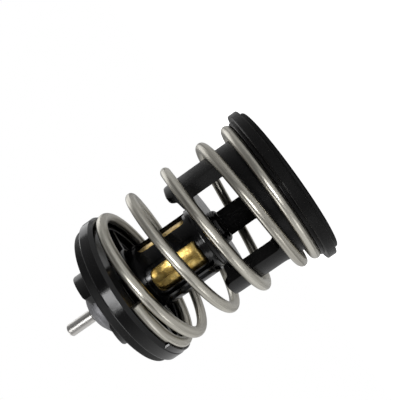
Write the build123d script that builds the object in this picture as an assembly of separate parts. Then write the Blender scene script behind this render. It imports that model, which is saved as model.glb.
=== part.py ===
from build123d import *
import math
import os

# Cartridge wax thermostat, standing on its flange face (z = 0).  The common
# axis is Z; the piston tip points up.  All sizes in millimetres.
# Angles called phi are measured from -Y towards +X.

# ---- fixed frame (flange, neck and three hooked legs, one moulding) --------
FLANGE_R = 26.0
FLANGE_Z0, FLANGE_Z1 = 1.5, 4.4
SEAT_R, SEAT_Z = 24.0, 5.4          # ledge that carries the fixed spring end
NECK_R, NECK_BORE = 20.0, 16.0
NECK_Z = 13.8
LEG_W = 9.4
LEG_INNER = 16.3                    # legs stand a little outside the bore
LEG_PHI = (60.0, 180.0, 300.0)
LEG_TIP = 32.5
HOOK_Z = 29.1                       # underside of the hook, stops the collar
HOOK_R = 14.5

# ---- flange seal ------------------------------------------------------------
FSEAL_R0, FSEAL_R1 = 21.0, 24.4

# ---- moving valve body ------------------------------------------------------
COLLAR_R = 15.65
COLLAR_Z0, COLLAR_Z1 = 26.1, 29.0
MOAT_Z = 27.4                       # floor of the groove inside the collar
BOSS_R, BOSS_Z = 5.6, 23.8
BARREL_R, BARREL_BORE = 10.4, 8.6
RECESS_R = 9.6
WIN_PHI = -18.5
WIN_W, WIN_Z0, WIN_Z1 = 8.14, 33.1, 50.0
REC_W, REC_Z0, REC_Z1 = 11.3, 32.0, 51.5
PANEL_R, PANEL_W = 11.15, 15.9      # plain raised panel in place of a window
DISC_R = 25.0
RIM_Z1 = 59.8
EDGE_R, EDGE_Z = 24.2, 56.4          # sloping edge between the rim and the spring seat
SEAL_TOP = 62.5
LIP_R0, LIP_R1, LIP_Z, LIP_W = 24.4, 24.8, 54.4, 32.0
FLOOR_Z = 55.2                      # moving spring seat
WEB_Z = 57.7
FACE_Z = 60.5
SOCKET_R, SOCKET_BORE = 13.8, 11.0
SOCKET_Z = 62.6
LUG_SPAN = 48.0
# position, top and the side (1 or -1) whose upper corner slopes down
LUGS = [(45.0, 71.5, -1), (135.0, 71.5, 1), (225.0, 69.6, -1), (315.0, 69.6, 1)]
LUG_DROP = 2.4
CUP_SEAT_Z = 57.4

# ---- spring -----------------------------------------------------------------
WIRE_D = 3.3
SPRING_R = 22.6
PSI_START, PSI_END = 101.0, 2000.0  # degrees, counted from the disc end
SPRING_Z_START = 54.0
SPRING_BOW = 0.6                    # the coils bow towards +X between the seats
# pitch in mm per turn at angles along the wire, straight between them
PITCH = [(100, 0.4), (250, 1.0), (350, 0.8), (395, 8.7), (440, 14.6), (485, 12.2),
         (530, 6.0), (575, 5.1), (620, 8.4), (665, 13.7), (710, 18.4), (755, 20.0),
         (800, 17.6), (845, 11.5), (890, 8.4), (935, 8.3), (980, 10.6), (1025, 13.7),
         (1070, 16.0), (1115, 15.6), (1160, 11.8), (1205, 9.2), (1250, 9.6),
         (1295, 11.6), (1340, 14.1), (1385, 16.5), (1430, 17.6), (1475, 15.3),
         (1520, 10.1), (1565, 8.2), (1610, 11.0), (1655, 10.6), (1700, 6.9),
         (1790, 4.1), (1840, 1.2), (1900, 0.4), (2010, 0.9)]

# ---- wax element ------------------------------------------------------------
CUP_R, CUP_WALL, CUP_Z = 8.45, 0.9, 33.0
PIN_R, PIN_Z0, PIN_Z1 = 2.1, 42.0, 84.0
GROOVE_R, GROOVE_Z0, GROOVE_Z1 = 1.85, 74.2, 74.7
BORE_R = 2.15

os.makedirs("parts", exist_ok=True)


def outline(points):
    """Closed wire in the XZ plane from (r, z) or (r, z, corner radius)."""
    pts = [(p[0], p[1], p[2] if len(p) > 2 else 0.0) for p in points]
    n = len(pts)
    ends = []
    for i in range(n):
        x, z, f = pts[i]
        ax, az, _ = pts[i - 1]
        bx, bz, _ = pts[(i + 1) % n]
        if f <= 0:
            ends.append(((x, z), None, (x, z)))
            continue
        ua = ((ax - x), (az - z))
        ub = ((bx - x), (bz - z))
        la, lb = math.hypot(*ua), math.hypot(*ub)
        ua = (ua[0] / la, ua[1] / la)
        ub = (ub[0] / lb, ub[1] / lb)
        half = math.acos(max(-1, min(1, ua[0] * ub[0] + ua[1] * ub[1]))) / 2
        t = f / math.tan(half)
        h = f / math.sin(half)
        bis = (ua[0] + ub[0], ua[1] + ub[1])
        lbis = math.hypot(*bis)
        bis = (bis[0] / lbis, bis[1] / lbis)
        mid = (x + bis[0] * (h - f), z + bis[1] * (h - f))
        ends.append(((x + ua[0] * t, z + ua[1] * t), mid, (x + ub[0] * t, z + ub[1] * t)))
    edges = []
    v = lambda p: Vector(p[0], 0, p[1])
    for i in range(n):
        a, mid, b = ends[i]
        if mid is not None:
            edges.append(ThreePointArc(v(a), v(mid), v(b)))
        nxt = ends[(i + 1) % n][0]
        if math.hypot(nxt[0] - b[0], nxt[1] - b[1]) > 1e-6:
            edges.append(Line(v(b), v(nxt)))
    return Wire(edges)


def turned(points):
    return revolve(Face(outline(points)), Axis.Z, 360)


def radial_block(phi, width, z0, z1, r0, r1, top_r=0.0, bottom_r=0.0):
    """Block standing across a radius: width along the tangent, r0..r1 outward,
    with rounded upper and lower corners in the tangent-z plane."""
    w = width / 2
    pts = [(-w, z0, bottom_r), (w, z0, bottom_r), (w, z1, top_r), (-w, z1, top_r)]
    face = Face(outline(pts))
    if face.normal_at().Y > 0:
        face = -face
    solid = extrude(face, amount=r1 - r0, dir=(0, -1, 0))
    solid = Pos(0, -r0, 0) * solid
    return Rot(0, 0, phi) * solid


def polar(part, phis):
    return [Rot(0, 0, a) * part for a in phis]


def one(shape):
    solids = shape.solids()
    assert len(solids) == 1, len(solids)
    return solids[0]


def save(shape, name):
    export_step(shape, f"parts/{name}.step")


# =============================== frame ======================================
base = turned([
    (NECK_BORE, FLANGE_Z0, 0.4),
    (FLANGE_R, FLANGE_Z0, 0.35),
    (FLANGE_R, FLANGE_Z1, 0.35),
    (SEAT_R, FLANGE_Z1, 0.0),
    (SEAT_R, SEAT_Z, 0.3),
    (NECK_R, SEAT_Z, 0.5),
    (NECK_R, NECK_Z, 0.3),
    (NECK_BORE, NECK_Z, 0.3),
])
# inner register that centres the flange seal
register = turned([
    (NECK_BORE, 0.45, 0.3),
    (FSEAL_R0 - 0.15, 0.45, 0.3),
    (FSEAL_R0 - 0.15, FLANGE_Z0 + 0.5),
    (NECK_BORE, FLANGE_Z0 + 0.5),
])
leg_ring = turned([
    (LEG_INNER, 10.0),
    (NECK_R, 10.0),
    (NECK_R, LEG_TIP, 0.5),
    (18.15, LEG_TIP, 0.5),
    (17.85, 30.55, 0.5),
    (HOOK_R + 0.45, 30.2),
    (HOOK_R, 29.75),
    (HOOK_R, HOOK_Z),
    (LEG_INNER, HOOK_Z, 0.25),
])
# leg outline in the tangent plane: flared root, rounded tip
hw, foot = LEG_W / 2, 1.9
leg_face = Face(outline([
    (-hw - foot, 10.0), (hw + foot, 10.0), (hw + foot, NECK_Z - 0.02),
    (hw, NECK_Z - 0.02, 1.8), (hw, LEG_TIP + 0.03, 2.2), (-hw, LEG_TIP + 0.03, 2.2),
    (-hw, NECK_Z - 0.02, 1.8), (-hw - foot, NECK_Z - 0.02),
]))
leg_box = Pos(0, -12.0, 0) * extrude(leg_face, amount=12.0, dir=(0, -1, 0))
frame = base + register
for a in LEG_PHI:
    frame = frame + (leg_ring & (Rot(0, 0, a) * leg_box))
frame = one(frame)
save(frame, "frame")

# ============================ flange seal ===================================
flange_seal = turned([
    (FSEAL_R0, 0.0, 0.3),
    (FSEAL_R1, 0.0, 0.6),
    (FSEAL_R1, FLANGE_Z0, 0.1),
    (FSEAL_R0, FLANGE_Z0, 0.1),
])
save(one(flange_seal), "flange_seal")

# ============================= valve body ===================================
body = turned([
    (0.0, BOSS_Z),
    (BOSS_R, BOSS_Z, 1.7),
    (BOSS_R, COLLAR_Z0, 0.4),
    (COLLAR_R, COLLAR_Z0, 0.7),
    (COLLAR_R, COLLAR_Z1, 0.3),
    (13.9, COLLAR_Z1, 0.2),
    (13.5, MOAT_Z, 0.3),
    (11.7, MOAT_Z, 0.5),
    (BARREL_R, 30.6, 1.5),
    (BARREL_R, 54.9, 1.2),
    (11.6, 54.9, 0.3),
    (12.1, WEB_Z, 0.4),
    (19.2, WEB_Z, 0.4),
    (19.6, FLOOR_Z, 0.3),
    (EDGE_R, FLOOR_Z, 0.0),
    (DISC_R, EDGE_Z, 0.0),
    (DISC_R, RIM_Z1, 0.5),
    (23.0, RIM_Z1, 0.0),
    (22.6, 58.7, 0.0),
    (20.7, 58.7, 0.0),
    (20.3, RIM_Z1, 0.0),
    (20.1, FACE_Z, 0.3),
    (SOCKET_R, FACE_Z, 0.5),
    (SOCKET_R, SOCKET_Z, 0.3),
    (SOCKET_BORE, SOCKET_Z, 0.0),
    (SOCKET_BORE, CUP_SEAT_Z, 0.0),
    (BARREL_BORE, CUP_SEAT_Z, 0.3),
    (BARREL_BORE, CUP_Z - 0.1, 0.8),
    (0.0, CUP_Z - 0.1),
])
# four snap lugs round the element head, a taller and a lower pair
for phi, top, low in LUGS:
    ring = turned([
        (SOCKET_BORE, SOCKET_Z - 1.0),
        (SOCKET_R, SOCKET_Z - 1.0),
        (SOCKET_R, top, 0.5),
        (10.6, top, 0.2),
        (10.15, top - 0.5, 0.0),
        (10.15, 68.55, 0.0),
        (SOCKET_BORE, 68.55, 0.0),
    ])
    w = SOCKET_R * math.sin(math.radians(LUG_SPAN / 2))
    if low > 0:
        pts = [(-w, 60.0), (w, 60.0), (w, top - LUG_DROP, 1.2), (-w, top + 0.05, 0.9)]
    else:
        pts = [(-w, 60.0), (w, 60.0), (w, top + 0.05, 0.9), (-w, top - LUG_DROP, 1.2)]
    face = Face(outline(pts))
    if face.normal_at().Y > 0:
        face = -face
    box = Rot(0, 0, phi) * (Pos(0, -8.0, 0) * extrude(face, amount=8.0, dir=(0, -1, 0)))
    body = body + (ring & box)
# ribs under the web between the barrel and the spring seat
for k in range(8):
    rib = radial_block(15.0 + 45.0 * k, 1.5, 55.5, WEB_Z + 0.4, 11.2, 20.0)
    body = body + rib
# ribs inside the collar skirt
for k in range(6):
    rib = radial_block(22.0 + 60.0 * k, 1.3, MOAT_Z - 0.4, 28.4, 10.0, 14.3)
    body = body + rib
# lip beside the spring seat, on one side only
lip_ring = turned([(LIP_R0, LIP_Z), (LIP_R1, LIP_Z), (LIP_R1, EDGE_Z), (LIP_R0, EDGE_Z)])
lip_box = radial_block(-90.0, LIP_W, LIP_Z - 1.0, EDGE_Z + 1.0, 10.0, 26.0)
body = body + (lip_ring & lip_box)
# plain raised panel on the fourth side of the barrel
panel_ring = turned([(BARREL_R - 0.5, 31.0), (PANEL_R, 31.0), (PANEL_R, 53.0), (BARREL_R - 0.5, 53.0)])
panel_box = radial_block(WIN_PHI - 90.0, PANEL_W, REC_Z0, REC_Z1, 3.0, 13.0, top_r=2.6, bottom_r=1.5)
body = body + (panel_ring & panel_box)
# three windows with a stepped border
recess_ring = turned([(RECESS_R, 20.0), (14.0, 20.0), (14.0, 56.0), (RECESS_R, 56.0)])
for k in range(3):
    a = WIN_PHI + 90.0 * k
    rec = radial_block(a, REC_W, REC_Z0, REC_Z1, 3.0, 13.0, top_r=3.2, bottom_r=1.5)
    body = body - (rec & recess_ring)
    win = radial_block(a, WIN_W, WIN_Z0, WIN_Z1, 3.0, 13.0, top_r=2.4, bottom_r=0.9)
    body = body - win
body = one(body)
save(body, "valve_body")

# ============================= valve seal ===================================
valve_seal = turned([
    (20.35, RIM_Z1 + 0.02, 0.0),
    (20.78, 58.76, 0.0),
    (22.52, 58.76, 0.0),
    (22.93, RIM_Z1 + 0.02, 0.0),
    (23.9, RIM_Z1 + 0.02, 0.3),
    (23.8, SEAL_TOP, 0.7),
    (21.4, SEAL_TOP, 0.8),
    (20.35, SEAL_TOP - 0.85, 0.3),
])
save(one(valve_seal), "valve_seal")

# =============================== spring =====================================
def spring_z(psi):
    """Wire centre height: the pitch profile integrated from the first end."""
    z = SPRING_Z_START
    for (a0, p0), (a1, p1) in zip(PITCH, PITCH[1:]):
        lo, hi = max(a0, PSI_START), min(a1, psi)
        if hi <= lo:
            continue
        f = lambda x: p0 + (p1 - p0) * (x - a0) / (a1 - a0)
        z -= (f(lo) + f(hi)) / 2 * (hi - lo) / 360.0
    return z


def wire_pt(psi):
    a = math.radians(-psi)
    z = spring_z(psi)
    bow = SPRING_BOW * math.sin(math.pi * (z - SEAT_Z) / (FLOOR_Z - SEAT_Z))
    return Vector(SPRING_R * math.cos(a) + bow, SPRING_R * math.sin(a), z)


n_pts = int((PSI_END - PSI_START) / 24.0) + 1
psis = [PSI_START + (PSI_END - PSI_START) * i / (n_pts - 1) for i in range(n_pts)]
path = Spline([wire_pt(p) for p in psis])
tangent = path.tangent_at(0)
section = Plane(origin=path.position_at(0), x_dir=(0, 0, 1), z_dir=tangent) * Circle(WIRE_D / 2)
wire_solid = sweep(section, path=path, is_frenet=True)
slab = Pos(0, 0, (SEAT_Z + FLOOR_Z) / 2) * Cylinder(30, FLOOR_Z - SEAT_Z)
spring = wire_solid & slab
spring = one(spring)
print("spring z ends", spring_z(PSI_START), spring_z(PSI_END))
save(spring, "spring")

# ============================= wax element ==================================
RIM_R = 10.4
wax_cup = turned([
    (0.0, CUP_Z),
    (CUP_R, CUP_Z, 1.9),
    (CUP_R, CUP_SEAT_Z + 0.1, 0.2),
    (RIM_R, CUP_SEAT_Z + 0.1, 0.7),
    (RIM_R, 61.9, 0.6),
    (8.9, 61.9, 0.1),
    (8.9, 61.25, 0.0),
    (9.6, 61.25, 0.0),
    (9.6, 58.4, 0.0),
    (CUP_R - CUP_WALL, 58.4, 0.3),
    (CUP_R - CUP_WALL, CUP_Z + CUP_WALL, 1.2),
    (0.0, CUP_Z + CUP_WALL),
])
save(one(wax_cup), "wax_cup")

SLEEVE_R = 4.2
wax_charge = turned([
    (0.0, CUP_Z + CUP_WALL + 0.02),
    (CUP_R - CUP_WALL - 0.02, CUP_Z + CUP_WALL + 0.02, 1.2),
    (CUP_R - CUP_WALL - 0.02, 57.2, 0.0),
    (SLEEVE_R + 0.02, 57.2, 0.0),
    (SLEEVE_R + 0.02, 39.6, 1.6),
    (0.0, 39.6),
])
save(one(wax_charge), "wax_charge")

rubber_sleeve = turned([
    (0.0, 39.62),
    (SLEEVE_R, 39.62, 1.6),
    (SLEEVE_R, 57.22, 0.0),
    (CUP_R - CUP_WALL - 0.05, 57.22, 0.0),
    (CUP_R - CUP_WALL - 0.05, 58.42, 0.0),
    (9.5, 58.42, 0.0),
    (9.5, 59.0, 0.2),
    (BORE_R, 59.0, 0.0),
    (BORE_R, PIN_Z0 - 0.1, 0.0),
    (0.0, PIN_Z0 - 0.1),
])
save(one(rubber_sleeve), "rubber_sleeve")

backing_washer = turned([
    (BORE_R, 59.02), (4.6, 59.02), (4.6, 60.2), (BORE_R, 60.2),
])
save(one(backing_washer), "backing_washer")

guide_head = turned([
    (4.65, 59.02),
    (9.5, 59.02),
    (9.5, 61.2, 0.2),
    (8.7, 61.2, 0.0),
    (8.7, 62.2, 0.2),
    (10.85, 62.2, 0.3),
    (10.85, 64.6, 0.2),
    (9.35, 64.6, 0.2),
    (9.35, 66.6, 0.2),
    (10.85, 66.6, 0.2),
    (10.85, 68.45, 0.1),
    (9.95, 68.45, 0.2),
    (9.85, 69.9, 1.6),
    (6.4, 72.5, 4.0),
    (4.0, 73.6, 0.6),
    (3.55, 73.6, 0.0),
    (3.55, 71.6, 0.0),
    (BORE_R, 71.6, 0.0),
    (BORE_R, 60.25, 0.0),
    (4.65, 60.25, 0.0),
])
save(one(guide_head), "guide_head")

pin_wiper = turned([
    (BORE_R, 71.65, 0.0),
    (3.5, 71.65, 0.0),
    (3.5, 73.5, 0.2),
    (2.9, 74.1, 0.2),
    (BORE_R + 0.02, 74.1, 0.1),
])
save(one(pin_wiper), "pin_wiper")

# ring seal between the element head and the socket bore
ORING_D = 1.58
ring_face = Plane.XZ * Pos(9.38 + ORING_D / 2 + 0.01, 65.6) * Circle(ORING_D / 2)
o_ring = revolve(ring_face, Axis.Z, 360)
save(one(o_ring), "element_ring_seal")

piston_pin = turned([
    (0.0, PIN_Z0),
    (PIN_R, PIN_Z0, 0.5),
    (PIN_R, GROOVE_Z0),
    (GROOVE_R, GROOVE_Z0),
    (GROOVE_R, GROOVE_Z1),
    (PIN_R, GROOVE_Z1),
    (PIN_R, PIN_Z1, 0.7),
    (0.0, PIN_Z1),
])
save(one(piston_pin), "piston_pin")
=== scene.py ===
import bpy, bmesh, math
import numpy as np
from mathutils import Matrix, Vector


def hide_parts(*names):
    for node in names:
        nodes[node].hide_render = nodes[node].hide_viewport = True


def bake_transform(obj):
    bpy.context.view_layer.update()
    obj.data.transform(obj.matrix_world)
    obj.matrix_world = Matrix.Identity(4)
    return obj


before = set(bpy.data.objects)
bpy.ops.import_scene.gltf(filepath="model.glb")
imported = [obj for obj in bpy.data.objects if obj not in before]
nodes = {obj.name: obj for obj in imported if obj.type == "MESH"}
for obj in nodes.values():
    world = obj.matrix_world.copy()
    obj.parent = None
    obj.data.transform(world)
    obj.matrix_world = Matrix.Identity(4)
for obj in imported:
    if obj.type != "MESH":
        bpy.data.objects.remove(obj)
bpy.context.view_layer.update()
MM = 0.001

# ------------------------------------------------------------------ camera --
def camera():
    """Pinhole camera at the photograph's angle: the object's axis runs down to
    the left of the picture, piston tip nearest the lower left corner."""
    f_px = 462.885
    c34, s34 = math.cos(math.radians(34)), math.sin(math.radians(34))
    base = np.array([[-s34, 0, -c34], [-c34, 0, s34], [0, 1, 0]])   # right, down, forward
    rv = np.array([-0.010592, 0.111072, -0.018812])
    th = np.linalg.norm(rv)
    k = rv / th
    K = np.array([[0, -k[2], k[1]], [k[2], 0, -k[0]], [-k[1], k[0], 0]])
    R = (np.eye(3) + math.sin(th) * K + (1 - math.cos(th)) * K @ K) @ base
    loc = np.array([0.0, -142.799, 13.549]) * MM
    cam = bpy.data.objects.new("camera", bpy.data.cameras.new("camera"))
    bpy.context.scene.collection.objects.link(cam)
    cam.data.sensor_fit = "HORIZONTAL"
    cam.data.sensor_width = 36.0
    cam.data.lens = 36.0 * f_px / 400.0
    cam.data.clip_start, cam.data.clip_end = 0.005, 20.0
    m = np.eye(4)
    m[:3, 0], m[:3, 1], m[:3, 2], m[:3, 3] = R[0], -R[1], -R[2], loc
    cam.matrix_world = Matrix(m.tolist())
    bpy.context.scene.camera = cam
    return cam


cam = camera()

# --------------------------------------------------------------- materials --
def new_mat(name):
    m = bpy.data.materials.new(name)
    m.use_nodes = True
    nt = m.node_tree
    nt.nodes.clear()
    out = nt.nodes.new("ShaderNodeOutputMaterial")
    b = nt.nodes.new("ShaderNodeBsdfPrincipled")
    nt.links.new(b.outputs[0], out.inputs[0])
    return m, nt, b


def node(nt, kind, **kw):
    n = nt.nodes.new(kind)
    for k, v in kw.items():
        if k.startswith("i_"):
            key = k[2:]
            key = int(key) if key.isdigit() else key.replace("_", " ")
            n.inputs[key].default_value = v
        else:
            setattr(n, k, v)
    return n


def ramp(nt, src, stops):
    r = nt.nodes.new("ShaderNodeValToRGB")
    e = r.color_ramp.elements
    while len(e) > 1:
        e.remove(e[-1])
    e[0].position, e[0].color = stops[0][0], (*stops[0][1], 1)
    for p, c in stops[1:]:
        x = e.new(p)
        x.color = (*c, 1)
    nt.links.new(src, r.inputs[0])
    return r


def coords(nt, scale=(1, 1, 1), kind="Object"):
    t = nt.nodes.new("ShaderNodeTexCoord")
    mp = nt.nodes.new("ShaderNodeMapping")
    mp.inputs["Scale"].default_value = scale
    nt.links.new(t.outputs[kind], mp.inputs[0])
    return mp.outputs[0]


def noise(nt, vec, scale, detail=3.0, rough=0.5):
    n = node(nt, "ShaderNodeTexNoise")
    n.inputs["Scale"].default_value = scale
    n.inputs["Detail"].default_value = detail
    n.inputs["Roughness"].default_value = rough
    nt.links.new(vec, n.inputs["Vector"])
    return n


def bump(nt, b, height, strength, dist, base=None):
    n = node(nt, "ShaderNodeBump")
    n.inputs["Strength"].default_value = strength
    n.inputs["Distance"].default_value = dist
    nt.links.new(height, n.inputs["Height"])
    if base is not None:
        nt.links.new(base, n.inputs["Normal"])
    nt.links.new(n.outputs[0], b.inputs["Normal"])
    return n.outputs[0]


def grey(v):
    return (v, v, v)


def plastic(name, lo, hi, r_lo, r_hi, grain=0.25, fine=9000.0, spec=0.5):
    """Black moulding: faint cloudy tone, flow streaks along the axis, a fine
    erosion grain in the bump, and roughness that varies by patches."""
    m, nt, b = new_mat(name)
    v = coords(nt)
    cloud = noise(nt, v, 160.0, 4.0, 0.55)
    c = ramp(nt, cloud.outputs[0], [(0.30, lo), (0.70, hi)])
    nt.links.new(c.outputs[0], b.inputs["Base Color"])
    vs = coords(nt, (1, 1, 0.25))
    streak = noise(nt, vs, 420.0, 3.0, 0.6)
    r = ramp(nt, streak.outputs[0], [(0.30, grey(r_lo)), (0.72, grey(r_hi))])
    nt.links.new(r.outputs[0], b.inputs["Roughness"])
    b.inputs["Specular IOR Level"].default_value = spec
    g = noise(nt, v, fine, 2.0, 0.6)
    n1 = bump(nt, b, g.outputs[0], grain, 0.00003)
    w = noise(nt, v, 330.0, 2.0, 0.5)
    bump(nt, b, w.outputs[0], 0.10, 0.00012, n1)
    return m


def rubber(name, lo, hi, rough):
    m, nt, b = new_mat(name)
    v = coords(nt)
    cloud = noise(nt, v, 240.0, 4.0, 0.6)
    c = ramp(nt, cloud.outputs[0], [(0.32, lo), (0.70, hi)])
    nt.links.new(c.outputs[0], b.inputs["Base Color"])
    dust = noise(nt, v, 2600.0, 3.0, 0.7)
    r = ramp(nt, dust.outputs[0], [(0.35, grey(rough - 0.08)), (0.70, grey(rough + 0.10))])
    nt.links.new(r.outputs[0], b.inputs["Roughness"])
    b.inputs["Specular IOR Level"].default_value = 0.25
    bump(nt, b, dust.outputs[0], 0.30, 0.00004)
    return m


def wire_steel(name):
    """Drawn stainless wire: die lines run along the wire, which the piece's own
    UV map follows (u along the wire in metres, v round it in metres)."""
    m, nt, b = new_mat(name)
    b.inputs["Metallic"].default_value = 1.0
    uv = coords(nt, (45.0, 2400.0, 1.0), "UV")
    lines = noise(nt, uv, 1.0, 3.0, 0.6)
    uv2 = coords(nt, (26.0, 620.0, 1.0), "UV")
    band = noise(nt, uv2, 1.0, 2.0, 0.5)
    c = ramp(nt, band.outputs[0], [(0.28, (0.34, 0.322, 0.28)), (0.50, (0.57, 0.548, 0.485)), (0.8, (0.74, 0.715, 0.64))])
    nt.links.new(c.outputs[0], b.inputs["Base Color"])
    r = ramp(nt, lines.outputs[0], [(0.25, grey(0.22)), (0.75, grey(0.40))])
    nt.links.new(r.outputs[0], b.inputs["Roughness"])
    n1 = bump(nt, b, lines.outputs[0], 0.45, 0.00005)
    bump(nt, b, band.outputs[0], 0.25, 0.00010, n1)
    return m


def brass(name):
    m, nt, b = new_mat(name)
    b.inputs["Metallic"].default_value = 1.0
    v = coords(nt)
    blot = noise(nt, v, 420.0, 5.0, 0.65)
    c = ramp(nt, blot.outputs[0], [(0.30, (0.24, 0.145, 0.035)), (0.50, (0.55, 0.38, 0.115)), (0.70, (0.78, 0.60, 0.24))])
    nt.links.new(c.outputs[0], b.inputs["Base Color"])
    draw = noise(nt, coords(nt, (1, 1, 0.08)), 1500.0, 3.0, 0.6)
    r = ramp(nt, draw.outputs[0], [(0.25, grey(0.22)), (0.75, grey(0.42))])
    nt.links.new(r.outputs[0], b.inputs["Roughness"])
    n1 = bump(nt, b, draw.outputs[0], 0.25, 0.00003)
    dents = noise(nt, v, 520.0, 2.0, 0.5)
    bump(nt, b, dents.outputs[0], 0.55, 0.00025, n1)
    return m


def head_metal(name):
    m, nt, b = new_mat(name)
    b.inputs["Metallic"].default_value = 0.85
    v = coords(nt)
    cloud = noise(nt, v, 420.0, 5.0, 0.6)
    c = ramp(nt, cloud.outputs[0], [(0.30, (0.19, 0.19, 0.20)), (0.70, (0.28, 0.28, 0.293))])
    nt.links.new(c.outputs[0], b.inputs["Base Color"])
    g = noise(nt, v, 5200.0, 2.0, 0.6)
    r = ramp(nt, g.outputs[0], [(0.3, grey(0.46)), (0.7, grey(0.62))])
    nt.links.new(r.outputs[0], b.inputs["Roughness"])
    bump(nt, b, g.outputs[0], 0.25, 0.00003)
    return m


def pin_steel(name):
    """Ground and polished pin: soft lines along the axis, almost no relief."""
    m, nt, b = new_mat(name)
    b.inputs["Metallic"].default_value = 1.0
    lines = noise(nt, coords(nt, (1, 1, 0.04)), 1500.0, 2.0, 0.5)
    c = ramp(nt, lines.outputs[0], [(0.3, (0.60, 0.585, 0.56)), (0.7, (0.70, 0.685, 0.66))])
    nt.links.new(c.outputs[0], b.inputs["Base Color"])
    r = ramp(nt, lines.outputs[0], [(0.3, grey(0.30)), (0.7, grey(0.37))])
    nt.links.new(r.outputs[0], b.inputs["Roughness"])
    bump(nt, b, lines.outputs[0], 0.01, 0.000002)
    return m


MAT_FRAME = plastic("frame_plastic", (0.0018, 0.0017, 0.0018), (0.0040, 0.0038, 0.0039), 0.24, 0.34, 0.30, spec=0.17)
MAT_VALVE = plastic("valve_plastic", (0.0020, 0.0020, 0.0022), (0.0040, 0.0040, 0.0043), 0.12, 0.19, 0.12, spec=0.42)
MAT_SEAL = rubber("seal_rubber", (0.0030, 0.0030, 0.0031), (0.0065, 0.0065, 0.0068), 0.55)
MAT_SLEEVE = rubber("sleeve_rubber", (0.014, 0.014, 0.014), (0.024, 0.024, 0.024), 0.70)
MAT_STEEL = wire_steel("spring_steel")
MAT_BRASS = brass("cup_brass")
MAT_HEAD = head_metal("head_metal")
MAT_PIN = pin_steel("pin_steel")
MAT_WAX = rubber("wax", (0.45, 0.27, 0.09), (0.62, 0.40, 0.15), 0.55)
MAT_PTFE = rubber("washer_plastic", (0.70, 0.70, 0.67), (0.82, 0.82, 0.80), 0.40)


def dress(name, mat):
    o = nodes[name]
    o.data.materials.clear()
    o.data.materials.append(mat)
    return o


for name, mat in (("frame", MAT_FRAME), ("flange_seal", MAT_SEAL), ("valve_body", MAT_VALVE),
                  ("valve_seal", MAT_SEAL), ("wax_cup", MAT_BRASS), ("guide_head", MAT_HEAD),
                  ("piston_pin", MAT_PIN), ("pin_wiper", MAT_SLEEVE), ("rubber_sleeve", MAT_SLEEVE),
                  ("element_ring_seal", MAT_SEAL), ("wax_charge", MAT_WAX), ("backing_washer", MAT_PTFE)):
    dress(name, mat)

# ------------------------------------------------------------------ spring --
SEAT_Z, FLOOR_Z = 5.4, 55.2
WIRE_R, SPRING_R = 1.65, 22.6
PSI_START, PSI_END = 101.0, 2000.0
BOW = 0.6
PITCH = [(100, 0.4), (250, 1.0), (350, 0.8), (395, 8.7), (440, 14.6), (485, 12.2),
         (530, 6.0), (575, 5.1), (620, 8.4), (665, 13.7), (710, 18.4), (755, 20.0),
         (800, 17.6), (845, 11.5), (890, 8.4), (935, 8.3), (980, 10.6), (1025, 13.7),
         (1070, 16.0), (1115, 15.6), (1160, 11.8), (1205, 9.2), (1250, 9.6),
         (1295, 11.6), (1340, 14.1), (1385, 16.5), (1430, 17.6), (1475, 15.3),
         (1520, 10.1), (1565, 8.2), (1610, 11.0), (1655, 10.6), (1700, 6.9),
         (1790, 4.1), (1840, 1.2), (1900, 0.4), (2010, 0.9)]


def spring_z(psi):
    z = 54.0
    for (a0, p0), (a1, p1) in zip(PITCH, PITCH[1:]):
        lo, hi = max(a0, PSI_START), min(a1, psi)
        if hi <= lo:
            continue
        f = lambda x: p0 + (p1 - p0) * (x - a0) / (a1 - a0)
        z -= (f(lo) + f(hi)) / 2 * (hi - lo) / 360.0
    return z


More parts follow.
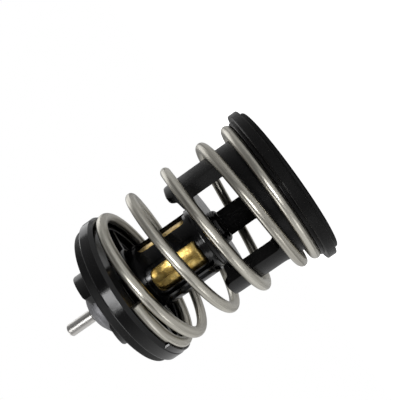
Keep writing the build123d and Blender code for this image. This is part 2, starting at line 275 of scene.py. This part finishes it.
def make_spring():
    step, m = 3.0, 36
    n = int(round((PSI_END - PSI_START) / step)) + 1
    psis = np.linspace(PSI_START, PSI_END, n)
    zc = np.array([spring_z(p) for p in psis])
    a = np.radians(-psis)
    er = np.stack([np.cos(a), np.sin(a), 0 * a], 1)
    bow = BOW * np.sin(math.pi * (zc - SEAT_Z) / (FLOOR_Z - SEAT_Z))
    c = er * SPRING_R + np.stack([bow, 0 * a, zc], 1)
    tan = np.gradient(c, np.radians(psis), axis=0)
    tan /= np.linalg.norm(tan, axis=1)[:, None]
    er = er - (er * tan).sum(1)[:, None] * tan
    er /= np.linalg.norm(er, axis=1)[:, None]
    eb = np.cross(tan, er)
    length = np.concatenate([[0], np.cumsum(np.linalg.norm(np.diff(c, axis=0), axis=1))])
    # rings: a tiny shrink at both cut ends makes the deburred edge
    rings, along, zmid = [], [], []
    def ring(i, r, shift=0.0):
        t = np.linspace(0, 2 * math.pi, m, endpoint=False)
        p = c[i] + shift * tan[i] + r * (np.outer(np.cos(t), er[i]) + np.outer(np.sin(t), eb[i]))
        rings.append(p)
        along.append(length[i] + shift)
        zmid.append(zc[i])
    ring(0, WIRE_R - 0.16, 0.0)
    ring(0, WIRE_R, 0.16)
    for i in range(1, n - 1):
        ring(i, WIRE_R)
    ring(n - 1, WIRE_R, -0.16)
    ring(n - 1, WIRE_R - 0.16, 0.0)
    P = np.array(rings)
    P[:, :, 2] = np.clip(P[:, :, 2], SEAT_Z, FLOOR_Z)          # ground flat ends
    k = len(rings)
    verts = [tuple(v * MM) for v in P.reshape(-1, 3)]
    faces = []
    for i in range(k - 1):
        for j in range(m):
            q = (j + 1) % m
            faces.append((i * m + j, i * m + q, (i + 1) * m + q, (i + 1) * m + j))
    faces.append(tuple(reversed(range(m))))
    faces.append(tuple((k - 1) * m + j for j in range(m)))
    me = bpy.data.meshes.new("coil_spring")
    me.from_pydata(verts, [], faces)
    uv = me.uv_layers.new(name="UVMap")
    for poly in me.polygons:
        for li in poly.loop_indices:
            vi = me.loops[li].vertex_index
            i, j = divmod(vi, m)
            v = j
            if len(poly.vertices) == 4 and j == 0 and any(me.loops[x].vertex_index % m == m - 1 for x in poly.loop_indices):
                v = m
            uv.data[li].uv = (along[i] * MM, v / m * 2 * math.pi * WIRE_R * MM)
    bm = bmesh.new()
    bm.from_mesh(me)
    bmesh.ops.recalc_face_normals(bm, faces=bm.faces)
    bm.to_mesh(me)
    bm.free()
    me.shade_smooth()
    me.set_sharp_from_angle(angle=math.radians(40))
    ob = bpy.data.objects.new("coil_spring", me)
    bpy.context.scene.collection.objects.link(ob)
    me.materials.append(MAT_STEEL)
    # mid-height of each wire section, one value per vertex, returned with the spring
    zm = np.repeat(np.array(zmid), m)
    return ob, zm


spring, spring_mid = make_spring()
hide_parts("spring")
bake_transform(spring)

# ------------------------------------------------------------- floor, light --
def floor():
    me = bpy.data.meshes.new("floor")
    s = 3.0
    z = -0.0002
    me.from_pydata([(-s, -s, z), (s, -s, z), (s, s, z), (-s, s, z)], [], [(0, 1, 2, 3)])
    ob = bpy.data.objects.new("floor", me)
    bpy.context.scene.collection.objects.link(ob)
    m, nt, b = new_mat("floor_white")
    b.inputs["Base Color"].default_value = (0.86, 0.86, 0.86, 1)
    b.inputs["Roughness"].default_value = 0.7
    b.inputs["Specular IOR Level"].default_value = 0.2
    b.inputs["Emission Color"].default_value = (1, 1, 1, 1)
    seen = nt.nodes.new("ShaderNodeLightPath")
    lift = node(nt, "ShaderNodeMath", operation="MULTIPLY")
    lift.inputs[1].default_value = 1.0
    nt.links.new(seen.outputs["Is Camera Ray"], lift.inputs[0])
    nt.links.new(lift.outputs[0], b.inputs["Emission Strength"])
    me.materials.append(m)
    return ob


floor()


def area(name, loc, target, size, power, size_y=None):
    l = bpy.data.lights.new(name, "AREA")
    l.energy = power
    l.shape = "RECTANGLE" if size_y else "SQUARE"
    l.size = size
    if size_y:
        l.size_y = size_y
    ob = bpy.data.objects.new(name, l)
    bpy.context.scene.collection.objects.link(ob)
    ob.location = loc
    d = Vector(target) - Vector(loc)
    ob.rotation_euler = d.to_track_quat("-Z", "Y").to_euler()
    return ob


area("key", (-0.045, -0.41, 0.150), (0, 0, 0.04), 0.085, 0.42, 0.085)
area("strip", (0.050, -0.41, 0.205), (0, 0, 0.05), 0.11, 0.20, 0.05)
area("side", (-0.34, -0.20, 0.02), (0, 0, 0.03), 0.14, 0.14, 0.20)
area("back", (0.34, 0.30, 0.22), (0, 0, 0.04), 0.30, 0.3)
area("top", (-0.10, -0.05, 0.50), (0, 0, 0.04), 0.22, 0.35)

w = bpy.data.worlds.new("studio")
bpy.context.scene.world = w
w.use_nodes = True
nt = w.node_tree
nt.nodes.clear()
out = nt.nodes.new("ShaderNodeOutputWorld")
bg_cam = node(nt, "ShaderNodeBackground", i_Strength=1.0)
bg_cam.inputs["Color"].default_value = (1, 1, 1, 1)
# the tent is dark round the lens and pale behind the object
tc = nt.nodes.new("ShaderNodeTexCoord")
sep = nt.nodes.new("ShaderNodeSeparateXYZ")
nt.links.new(tc.outputs["Generated"], sep.inputs[0])
half = node(nt, "ShaderNodeMath", operation="MULTIPLY_ADD")
half.inputs[1].default_value, half.inputs[2].default_value = 0.5, 0.5
nt.links.new(sep.outputs["Y"], half.inputs[0])
tent = ramp(nt, half.outputs[0], [(0.0, grey(0.05)), (0.08, grey(0.08)), (0.22, grey(0.20)), (0.5, grey(0.35)), (0.75, grey(0.38)), (1.0, grey(0.34))])
across = node(nt, "ShaderNodeMath", operation="MULTIPLY_ADD")
across.inputs[1].default_value, across.inputs[2].default_value = 0.5, 0.5
nt.links.new(sep.outputs["X"], across.inputs[0])
side = ramp(nt, across.outputs[0], [(0.0, grey(1.0)), (0.30, grey(0.74)), (0.5, grey(0.34)), (1.0, grey(0.38))])
both = node(nt, "ShaderNodeVectorMath", operation="MULTIPLY")
nt.links.new(tent.outputs[0], both.inputs[0])
nt.links.new(side.outputs[0], both.inputs[1])
bg = node(nt, "ShaderNodeBackground", i_Strength=2.2)
nt.links.new(both.outputs[0], bg.inputs["Color"])
mix = nt.nodes.new("ShaderNodeMixShader")
lp = nt.nodes.new("ShaderNodeLightPath")
nt.links.new(lp.outputs["Is Camera Ray"], mix.inputs[0])
nt.links.new(bg.outputs[0], mix.inputs[1])
nt.links.new(bg_cam.outputs[0], mix.inputs[2])
nt.links.new(mix.outputs[0], out.inputs[0])

bpy.context.scene.view_settings.view_transform = "Standard"
bpy.context.scene.view_settings.look = "None"
